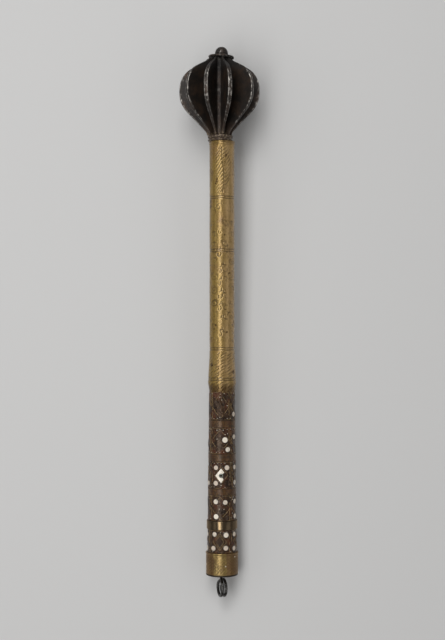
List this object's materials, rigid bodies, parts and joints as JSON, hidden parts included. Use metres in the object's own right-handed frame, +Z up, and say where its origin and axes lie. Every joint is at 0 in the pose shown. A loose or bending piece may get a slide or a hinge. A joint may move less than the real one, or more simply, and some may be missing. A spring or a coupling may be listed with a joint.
{
  "type": "ceremonial mace",
  "caption": "Flanged ceremonial mace lying down: dark steel head of onion-shaped plates, engraved gilt shaft, dark grip with pearl inlay and brass bands, brass cap and iron wire loop.",
  "frame": {"origin": "middle of the mace's footprint on the floor it lies on, at floor level", "axes": "+Y along the mace from its loop end to its head, +Z up, +X to the right of the head seen from above"},
  "size_m": [0.0934, 0.6386, 0.0902],
  "materials": {
    "blackened_steel": "forged, browned almost black, worn bright along the rims",
    "gilt_copper": "engraved and fire-gilt, rubbed and stained brown in patches",
    "dark_shell": "dark polished veneer with a reddish mottle",
    "aged_brass": "tarnished, polished by handling on the high side",
    "mother_of_pearl": "polished, slightly iridescent",
    "dark_iron": "drawn wire, dark and slightly pitted"
  },
  "bodies": {
    "root": {"head_core": "blackened_steel", "neck_collar": "blackened_steel", "top_disc": "blackened_steel", "finial_knob": "blackened_steel", "flange_01": "blackened_steel", "flange_02": "blackened_steel", "flange_03": "blackened_steel", "flange_04": "blackened_steel", "flange_05": "blackened_steel", "flange_06": "blackened_steel", "flange_07": "blackened_steel", "flange_08": "blackened_steel", "flange_09": "blackened_steel", "flange_10": "blackened_steel", "gilt_shaft": "gilt_copper", "grip_body": "dark_shell", "grip_band_1": "aged_brass", "grip_band_2": "aged_brass", "grip_band_3": "aged_brass", "grip_band_4": "aged_brass", "end_cap": "aged_brass", "pearl_01": "mother_of_pearl", "pearl_02": "mother_of_pearl", "pearl_03": "mother_of_pearl", "pearl_04": "mother_of_pearl", "pearl_05": "mother_of_pearl", "pearl_06": "mother_of_pearl", "pearl_07": "mother_of_pearl", "pearl_08": "mother_of_pearl", "pearl_09": "mother_of_pearl", "pearl_10": "mother_of_pearl", "pearl_11": "mother_of_pearl", "pearl_12": "mother_of_pearl", "pearl_13": "mother_of_pearl", "pearl_14": "mother_of_pearl", "pearl_15": "mother_of_pearl", "pearl_16": "mother_of_pearl", "pearl_17": "mother_of_pearl", "pearl_18": "mother_of_pearl", "pearl_19": "mother_of_pearl", "pearl_20": "mother_of_pearl", "pearl_21": "mother_of_pearl", "pearl_22": "mother_of_pearl", "pearl_23": "mother_of_pearl", "pearl_24": "mother_of_pearl", "pearl_25": "mother_of_pearl", "pearl_26": "mother_of_pearl", "pearl_27": "mother_of_pearl", "pearl_28": "mother_of_pearl", "pearl_29": "mother_of_pearl", "pearl_30": "mother_of_pearl", "pearl_31": "mother_of_pearl", "pearl_32": "mother_of_pearl", "pearl_33": "mother_of_pearl", "pearl_34": "mother_of_pearl", "pearl_35": "mother_of_pearl", "pearl_lozenge": "mother_of_pearl", "butt_loop": "dark_iron"}
  },
  "joints": []
}
